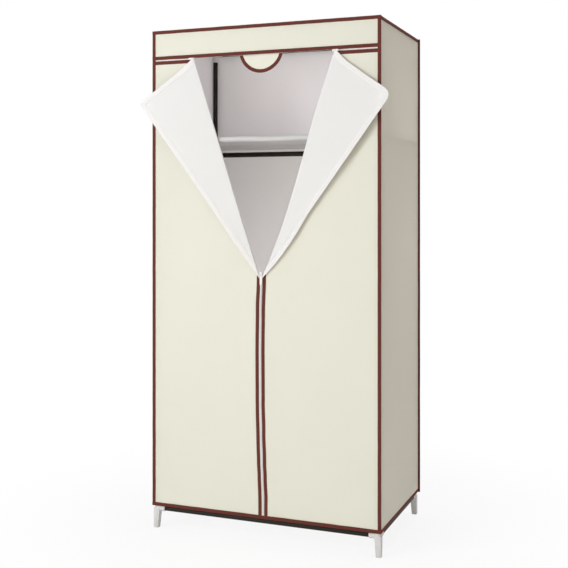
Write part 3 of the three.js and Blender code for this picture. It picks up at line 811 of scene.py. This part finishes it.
def doorSurface(side, x, z, lift):
    x, z = roundedCorner(side, x, z)
    values = doorValues
    turned = min(1.0, max(0.0, (foldTop.x - x) / (foldTop.x - slotX)))  # along the turned top edge
    liftedReach, sagReach = values["liftedReach"], values["sagReach"]
    lifted = values["lifted"] * (1 - ease(turned / values["liftedShare"]))
    z += lifted * ease((z - doorTopZ + liftedReach) / liftedReach)
    z -= eased(values["sag"][side], turned) * ease((z - doorTopZ + sagReach) / sagReach)
    flat = Vector((x, z)) - foldTop
    down = flat.dot(foldDown)
    across = flat.dot(foldIn)
    bow = foldBow(side, down)
    radius = values["foldRadius"]
    past = across + bow + pi * radius / 2
    tilt = radians(values["tilt"])
    if past <= 0:
        near = 1 - ease(-past / values["recessReach"])
        out = -values["recess"] * near + doorRelief(side, x, z) * (1 - near)
        spot, normal = across, Vector((0, 1))
    elif past < pi * radius:
        angle = past / radius
        spot = -bow - pi * radius / 2 + radius * sin(angle)
        out = -values["recess"] + radius * (1 - cos(angle))
        normal = Vector((-sin(angle), cos(angle)))
    else:
        run = past - pi * radius
        reach = values["stretchReach"]
        pull = values["stretch"][side] * ease(run / reach) * ease((z - values["stretchFrom"]) / reach)
        spot = -across - 2 * bow * max(0.0, 1 - max(across, 0.0) / values["bowReach"]) - pull
        ripple = waver(x, z, values["flutterScale"], 5.5 * side)
        flutter = values["flutter"] * ripple * ease(run / values["flutterReach"])
        out = 2 * radius - values["recess"] + run * tan(tilt) + flutter - values["stretchDip"] * pull
        normal = Vector((-sin(tilt), -cos(tilt)))
    spot += normal.x * lift
    out += normal.y * lift
    place = foldTop + foldDown * down + foldIn * spot
    drift = eased(zipLine, z) * ease(1 - x / values["driftReach"])
    return Vector((side * place.x + drift, frontY - out, place.y))


def foldBlend(piece, side):
    # Bakes the piece's transform. A plane between the door and the turned corner, tilted half as much as
    # the corner, is worked out here but not used
    away = Vector((-side * foldIn.x, 0, -foldIn.y))
    direction = (Vector((0, -1, 0)) - away * tan(radians(doorValues["tilt"]) / 2)).normalized()
    near, far = doorValues["blend"]
    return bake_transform(piece)


def cutFold(piece, side):
    # Extra rows of points along the fold, so that it turns round smoothly. None lies in its middle
    # third, where the turned corner parts from the door in the other poses.
    reach = pi * doorValues["foldRadius"]
    editAll(piece)
    for degrees in doorValues["foldRows"]:
        offset = reach * (degrees / 180 - 0.5)
        point = foldTop + foldIn * offset
        bpy.ops.mesh.select_all(action="SELECT")
        bpy.ops.mesh.bisect(plane_co=(point.x, point.y, 0), plane_no=(foldIn.x, foldIn.y, 0))
    bpy.ops.mesh.select_all(action="DESELECT")
    bpy.ops.object.mode_set(mode="OBJECT")
    for vertex in piece.data.vertices:
        across = (vertex.co.xy - foldTop).dot(foldIn)
        vertex.select = abs(across) < reach / 6 - weldDistance
    bpy.ops.object.mode_set(mode="EDIT")
    bpy.ops.mesh.dissolve_verts()
    bpy.ops.object.mode_set(mode="OBJECT")
    for vertex in piece.data.vertices:
        flat = vertex.co.xy - foldTop
        down, across = flat.dot(foldDown), flat.dot(foldIn)
        if 0 <= down <= foldLength and abs(across) < doorValues["bowReach"]:
            shift = -foldBow(side, down) * (1 - ease(abs(across) / doorValues["bowReach"]))
            onTop = vertex.co.y > doorTopZ - weldDistance
            place = foldTop + foldDown * down + foldIn * (across + shift)
            vertex.co.xy = (max(place.x, slotX), doorTopZ if onTop else place.y)


def freeEdge(along, across):
    # A flat point beside the door's free edge: up the zip side, round the corner and out along the top
    zipRun, topRun = doorTopZ - hemZ, sideX - slotX
    if along <= zipRun:
        return slotX + across, hemZ + along * (zipRun - across) / zipRun
    return slotX + across + (along - zipRun) * (topRun - across) / topRun, doorTopZ - across


def makeDoor(name, side):
    values = doorValues
    step = values["step"]
    width, height = sideX - slotX, doorTopZ - hemZ
    door = flatGrid(f"{name}_door_cloth", (slotX, hemZ), (sideX, doorTopZ),
                    round(width / step), round(height / step))
    cutFold(door, side)
    clothPiece(door, lambda x, z, lift: doorSurface(side, x, z, lift), creamCloth, whiteCloth)

    def outside(along, across, lift):
        return doorSurface(side, *freeEdge(along, across), lift)

    def inside(along, across, lift):
        before, reach = values["tapeOutReach"]
        out = values["tapeOut"] + values["tapeOutTop"] * ease((along - height + before) / reach)
        inner = -clothThickness - values["tapeGap"] - lift
        return doorSurface(side, *freeEdge(along, across - out), inner)

    sliderAlong = sliderZ - hemZ

    def teethLine(along, across, lift):
        along += sliderAlong
        out = values["teethOut"] if along < height else values["teethOutTop"]
        inner = -clothThickness - values["teethGap"] - lift
        return doorSurface(side, *freeEdge(along, across - out), inner)

    binding = boundStrip(f"{name}_door_binding", width + height, outside)
    tape = boundStrip(f"{name}_door_zip_tape", width + height, inside, zipTape, tapeValues)
    run = width + height - sliderAlong - values["teethEnd"]
    teeth = zipTeeth(f"{name}_door_zip_teeth", run, teethLine)
    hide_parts(f"door_{name}", f"flap_{name}")
    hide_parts(f"flap_binding_{name}")
    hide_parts(f"flap_zip_{name}")
    for piece in (door, binding, tape, teeth):
        foldBlend(piece, side)


makeDoor("left", -1)
makeDoor("right", 1)
print("doors laid")


# Cover panels

def panelDip(u, v):
    # The cloth sinks in between two rails
    for low, high, depth in panelBands:
        if low <= v <= high:
            return depth * sin(pi * u) * sin(pi * (v - low) / (high - low))
    return 0


coverValues = {
    "lowerDip": 0.007,
    "upperDip": 0.0035,
    "topSag": 0.004,
    "ripple": 0.0009,
    "sideScale": (7, 3),
    "sideReach": 0.15,
    "backScale": (5, 3),
    "backReach": 0.1,
    "crease": 0.0008,  # the shelf's edge presses faintly on the sides
    "creaseReach": 0.012,
    "headerRipple": 0.0008,
    "headerScale": (6, 9),
    "headerReach": (0.06, 0.03),
    "step": 0.014,
}
panelBands = [(hemZ, shelfZ, coverValues["lowerDip"]), (shelfZ, topZ, coverValues["upperDip"])]


def edgeMask(share, reach):
    return ease(share / reach) * ease((1 - share) / reach)


def coverPanel(name, low, high, surface, node):
    step = coverValues["step"]
    width, height = high[0] - low[0], high[1] - low[1]
    panel = flatGrid(f"{name}_cloth", low, high, round(width / step), round(height / step))
    clothPiece(panel, surface, creamCloth, whiteCloth)
    finishPiece(panel, "root", "cover_fabric", node)


sideLow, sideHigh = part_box("cover_right")
topLow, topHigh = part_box("cover_top")


def sideSurface(side, y, z, lift):
    u = (y - sideLow.y) / (sideHigh.y - sideLow.y)
    mask = edgeMask(u, coverValues["sideReach"])
    ripple = waver(y, z, coverValues["sideScale"], 11 * side) * coverValues["ripple"] * mask
    crease = coverValues["crease"] * mask * max(0.0, 1 - abs(z - shelfZ) / coverValues["creaseReach"])
    return Vector((side * (sideX - panelDip(u, z) + ripple + crease + lift), y, z))


def backSurface(x, z, lift):
    u = (x + sideX) / (2 * sideX)
    mask = edgeMask(u, coverValues["backReach"])
    ripple = waver(x, z, coverValues["backScale"], 21) * coverValues["ripple"] * mask
    return Vector((x, backY - panelDip(u, z) + ripple + lift, z))


def topSurface(x, y, lift):
    u = (x - topLow.x) / (topHigh.x - topLow.x)
    v = (y - topLow.y) / (topHigh.y - topLow.y)
    return Vector((x, y, topZ - coverValues["topSag"] * sin(pi * u) * sin(pi * v) + lift))


def headerSurface(x, z, lift):
    ripple = waver(x, z, coverValues["headerScale"], 31) * coverValues["headerRipple"]
    wide, high = coverValues["headerReach"]
    mask = ease((sideX - abs(x)) / wide) * ease((z - headerLowZ) / high) * ease((topZ - z) / high)
    return Vector((x, frontY - ripple * mask - lift, z))


for name, side in (("left", -1), ("right", 1)):
    coverPanel(f"{name}_side", (sideLow.y, hemZ), (sideHigh.y, topZ),
               lambda y, z, lift: sideSurface(side, y, z, lift), f"cover_{name}")
coverPanel("back", (-sideX, hemZ), (sideX, topZ), backSurface, "cover_back")
coverPanel("top", (topLow.x, topLow.y), (topHigh.x, topHigh.y), topSurface, "cover_top")
coverPanel("header", (-sideX, headerLowZ), (sideX, topZ), headerSurface, "header")
print("cover panels laid")

# Bound seams of the cover
seamValues = {
    "stack": 0.0003,  # seams that cross lie over one another by this much
    "headerDrop": 0.0008,
    "finSides": 16,
    "finStep": 0.008,
    "finThickness": 0.0011,
    "finRoot": 0.001,
    "finInset": 0.0012,
    "finSway": 0.0012,
}
edgeX = sideX + bindingValues["height"]
edgeLow, edgeHigh = bindingLow.z, bindingHigh.z
depthRun = bindingHigh.y - bindingLow.y


def sewSeams():
    stack = seamValues["stack"]
    seams = []

    def sew(length, surface):
        seams.append(boundStrip("seam", length, surface))

    for side in (-1, 1):
        sew(edgeHigh - edgeLow, lambda along, across, lift: Vector((
            side * (edgeX - across), frontY - lift - stack, edgeLow + along)))
        sew(edgeX, lambda along, across, lift: doorSurface(side, along, hemZ + across, lift + 2 * stack))
        sew(depthRun, lambda along, across, lift: Vector((
            side * (sideX + lift), bindingLow.y + along, edgeHigh - across)))
        sew(depthRun, lambda along, across, lift: Vector((
            side * (sideX + lift), bindingLow.y + along, edgeLow + across)))
    sew(2 * edgeX, lambda along, across, lift: Vector((
        along - edgeX, frontY - lift, edgeHigh + stack * 6 - across)))
    sew(2 * edgeX, lambda along, across, lift: Vector((
        along - edgeX, frontY - lift, headerLowZ - seamValues["headerDrop"] + across)))
    sew(2 * edgeX, lambda along, across, lift: Vector((
        along - edgeX, backY + lift, edgeHigh - across)))
    sew(2 * edgeX, lambda along, across, lift: Vector((
        along - edgeX, backY + lift, edgeLow + across)))
    return seams


def makeFin(side):
    # The back seam stands out sideways as a flat fin
    values = seamValues
    outer, inner = bindingHigh.x, sideX - values["finRoot"]
    fin = flatGrid("back_fin", (edgeLow, 0), (edgeHigh, 1),
                   round((edgeHigh - edgeLow) / values["finStep"]), values["finSides"])
    writeCut(fin)
    for vertex in fin.data.vertices:
        turn = 2 * pi * vertex.co.y
        across = (outer + inner) / 2 + (outer - inner) / 2 * cos(turn)
        sway = values["finSway"] * noise.noise(Vector((vertex.co.x * 9, side, 2)))
        back = bindingHigh.y - values["finInset"] + values["finThickness"] * sin(turn) + sway
        vertex.co = (side * across, back, vertex.co.x)
    weldAll(fin)
    bpy.ops.mesh.fill_holes(sides=0)
    bpy.ops.mesh.normals_make_consistent(inside=False)
    bpy.ops.object.mode_set(mode="OBJECT")
    fin.data.materials.append(brownTape)
    return smooth(fin, 50)


seams = joinPieces("bound_seams", sewSeams() + [makeFin(side) for side in (-1, 1)])
finishPiece(seams, "root", "seam_binding", "edge_binding")
print("bound seams sewn")


# Zips: the closed part of the middle one, and the header's half of the top one
zipValues = {
    "chainWidth": 0.005,
    "chainStart": 0.012,
    "chainShorter": 0.013,
    "chainBehind": 0.0002,
    "stopSize": (0.0062, 0.0022, 0.0042),
    "stopRound": 0.0006,
    "stopHeight": 0.009,
    "stopOut": 0.0001,
    "tape": (0.002, 0.0001, 0.0002),  # along the header: in from its ends, behind its cloth, up
    "teeth": (0.014, 0.0002, -0.0002),
}


def chainSurface(along, across, lift):
    z = hemZ + zipValues["chainStart"] + along
    return Vector((across + eased(zipLine, z), frontY + zipValues["chainBehind"] - lift, z))


def headerLine(part):
    inset, behind, up = zipValues[part]
    return 2 * sideX - 2 * inset, lambda along, across, lift: Vector((
        along - sideX + inset, frontY + clothThickness + behind + lift, headerLowZ + up + across))


def makeStop(x, z):
    # A small moulded block that ends the row of teeth
    bpy.ops.mesh.primitive_cube_add(size=1, location=(x, frontY - zipValues["stopOut"], z))
    stop = added("zip_stop")
    stop.scale = zipValues["stopSize"]
    settle(stop)
    addBevel(stop, zipValues["stopRound"])
    applyAll(stop)
    stop.data.materials.append(zipPlastic)
    return smooth(stop, 50)


stopZ = hemZ + zipValues["stopHeight"]
chain = zipTeeth("closed_zip_teeth", sliderZ - hemZ - zipValues["chainShorter"], chainSurface,
                 zipValues["chainWidth"])
chain = joinPieces("closed_zip_teeth", [chain, makeStop(eased(zipLine, stopZ), stopZ)])
finishPiece(chain, "root", "zip_tape", "zip_chain")
topTape = boundStrip("header_zip_tape", *headerLine("tape"), zipTape, tapeValues)
finishPiece(topTape, "root", "zip_tape", "top_zip")
topTeeth = zipTeeth("header_zip_teeth", *headerLine("teeth"))
finishPiece(topTeeth, "root", "zip_plastic")
print("zips laid")

# Half-round tab under the header, with a bound rim
tabLow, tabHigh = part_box("tab")
tabValues = {
    "radius": tabHigh.x,
    "middle": -0.0045,
    "back": 0.0004,
    "ripple": 0.0006,
    "rippleFrom": 0.25,
    "rippleReach": 0.7,
    "rippleScale": 38,
    "ripplePhase": 0.6,
    "columns": 44,
    "rings": 10,
}


def tabSurface(x, z, lift):
    values = tabValues
    down = (tabHigh.z - z) / values["radius"]
    wave = sin(values["rippleScale"] * x + values["ripplePhase"])
    ripple = values["ripple"] * ease((down - values["rippleFrom"]) / values["rippleReach"]) * wave
    return Vector((x + values["middle"], tabLow.y + values["back"] - lift - ripple, z))


def tabRim(along, across, lift):
    reach = tabValues["radius"] - across
    angle = along / tabValues["radius"]
    return tabSurface(reach * cos(angle), tabHigh.z - reach * sin(angle), lift)


def makeTab():
    values = tabValues
    tab = flatGrid("half_round_tab", (0, 0), (pi, 1), values["columns"], values["rings"])
    for vertex in tab.data.vertices:
        angle, reach = vertex.co.x, vertex.co.y * values["radius"]
        vertex.co = (reach * cos(angle), tabHigh.z - reach * sin(angle), 0)
    weldAll(tab)
    bpy.ops.object.mode_set(mode="OBJECT")
    if tab.data.polygons[0].normal.z < 0:
        turnOver(tab)
    clothPiece(tab, tabSurface, creamCloth, whiteCloth)
    rim = boundStrip("tab_rim", pi * values["radius"], tabRim)
    finishPiece(tab, "tab", "cover_fabric", "tab")
    finishPiece(rim, "tab", "seam_binding", "tab_binding")


makeTab()
print("tab sewn")

# Shelf cloth: a sleeve over the front rail, across to the back rail and round it
shelfValues = {
    "gap": 0.0008,
    "sag": 0.004,
    "seam": 0.026,
    "slack": 0.0016,
    "ripple": 0.0006,
    "rippleScale": (9, 12),
    "step": 0.011,
    "rows": 150,
    "arcSteps": 14,
    "spanSteps": 40,
}


def shelfPath():
    # Side view (y, z) of the cloth, from the front sleeve's seam to the back sleeve's
    values = shelfValues
    frontLow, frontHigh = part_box("shelf_rail_front")
    backLow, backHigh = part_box("shelf_rail_back")
    frontRail, backRail = (frontLow.y + frontHigh.y) / 2, (backLow.y + backHigh.y) / 2
    radius = (frontHigh.z - frontLow.z) / 2 + values["gap"]
    steps, spanSteps = values["arcSteps"], values["spanSteps"]

    def ends(rail, outward):
        points = []
        for i in range(steps):
            t = i / steps
            height = (radius - values["slack"]) * (1 - ease(t)) - radius * ease(t)
            points.append(Vector((rail - outward * values["seam"] * (1 - t), shelfZ + height)))
        for i in range(steps + 1):
            angle = -pi / 2 + pi * i / steps
            points.append(Vector((rail + outward * radius * cos(angle), shelfZ + radius * sin(angle))))
        return points

    across = []
    for i in range(1, spanSteps):
        t = i / spanSteps
        across.append(Vector((frontRail + (backRail - frontRail) * t,
                              shelfZ + radius - values["sag"] * sin(pi * t))))
    return ends(frontRail, -1) + across + ends(backRail, 1)[::-1]


def makeShelf():
    values = shelfValues
    path = shelfPath()
    runs = [0.0]
    for first, second in zip(path, path[1:]):
        runs.append(runs[-1] + (second - first).length)
    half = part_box("shelf_cloth")[1].x

    def surface(x, along, lift):
        i = max(1, next((k for k, run in enumerate(runs) if run >= along), len(runs) - 1))
        t = (along - runs[i - 1]) / (runs[i] - runs[i - 1])
        direction = (path[i] - path[i - 1]).normalized()
        spot = path[i - 1].lerp(path[i], t) + Vector((-direction.y, direction.x)) * lift
        ripple = values["ripple"] * waver(x, along, values["rippleScale"], 41)
        return Vector((x, spot.x, spot.y + ripple))

    shelf = flatGrid("shelf_sheet", (-half, 0), (half, runs[-1]),
                     round(2 * half / values["step"]), values["rows"])
    clothPiece(shelf, surface, shelfMaterial, shelfMaterial)
    finishPiece(shelf, "root", "shelf_fabric", "shelf_cloth")


makeShelf()
print("shelf cloth stretched")

# Tubes
tubeNodes = [n for n in frame["nodes"] if "upright" in n or "rail" in n or n == "hanging_rod"]
tubeValues = {"sides": 48, "wall": 0.0009, "edge": 0.0002}


def makeTube(node):
    low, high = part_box(node)
    size = high - low
    axis = max(range(3), key=lambda i: size[i])
    turn = {0: (0, radians(90), 0), 1: (radians(90), 0, 0), 2: (0, 0, 0)}[axis]
    bpy.ops.mesh.primitive_cylinder_add(
        vertices=tubeValues["sides"], radius=min(size) / 2, depth=size[axis],
        end_fill_type="NOTHING", location=(low + high) / 2, rotation=turn)
    tube = settle(added(f"{node}_tube"))
    thicken(tube, tubeValues["wall"])
    addBevel(tube, tubeValues["edge"], degrees=50)
    applyAll(tube)
    smooth(tube, 30)
    tube.data.materials.append(blackEnamel)
    finishPiece(tube, "root", "black_tube", node)


for node in tubeNodes:
    makeTube(node)
print("tubes made")

# Moulded and small plastic pieces: the frame's own shapes with softened edges.
# Each kind has the width of its edges, its material and its slot.
mouldedValues = {
    "foot": (0.0007, whiteMoulding, "white_moulding"),
    "shelf_joint": (0.0006, whiteMoulding, "white_moulding"),
    "top_corner": (0.0006, whiteMoulding, "white_moulding"),
    "rod_holder": (0.0006, whiteMoulding, "white_moulding"),
    "zip_slider": (0.0002, zipPlastic, "zip_plastic"),
    "zip_pull": (0.0003, zipPlastic, "zip_plastic"),
    "top_slider": (0.0002, zipPlastic, "zip_plastic"),
    "top_pull": (0.0003, zipPlastic, "zip_plastic"),
}


def soften(node, edge, material, slot):
    source = frame["nodes"][node]
    piece = bpy.data.objects.new(f"{node}_moulded", source.data.copy())
    scene.collection.objects.link(piece)
    if node.startswith("zip_"):  # it sits on the zip, a little beside the middle
        piece.location.x = eased(zipLine, sliderZ)
        settle(piece)
    weldAll(piece)
    bpy.ops.mesh.dissolve_limited(angle_limit=radians(1))
    bpy.ops.object.mode_set(mode="OBJECT")
    addBevel(piece, edge, degrees=35)
    applyAll(piece)
    smooth(piece, 35)
    piece.data.materials.clear()
    piece.data.materials.append(material)
    finishPiece(piece, source["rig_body"], slot, node)


for node in list(frame["nodes"]):
    for start, (edge, material, slot) in mouldedValues.items():
        if node.startswith(start):
            soften(node, edge, material, slot)
print("mouldings softened")

stillShown = [n for n, piece in frame["nodes"].items() if not piece.hide_render]
print("frame pieces still shown:", stillShown)
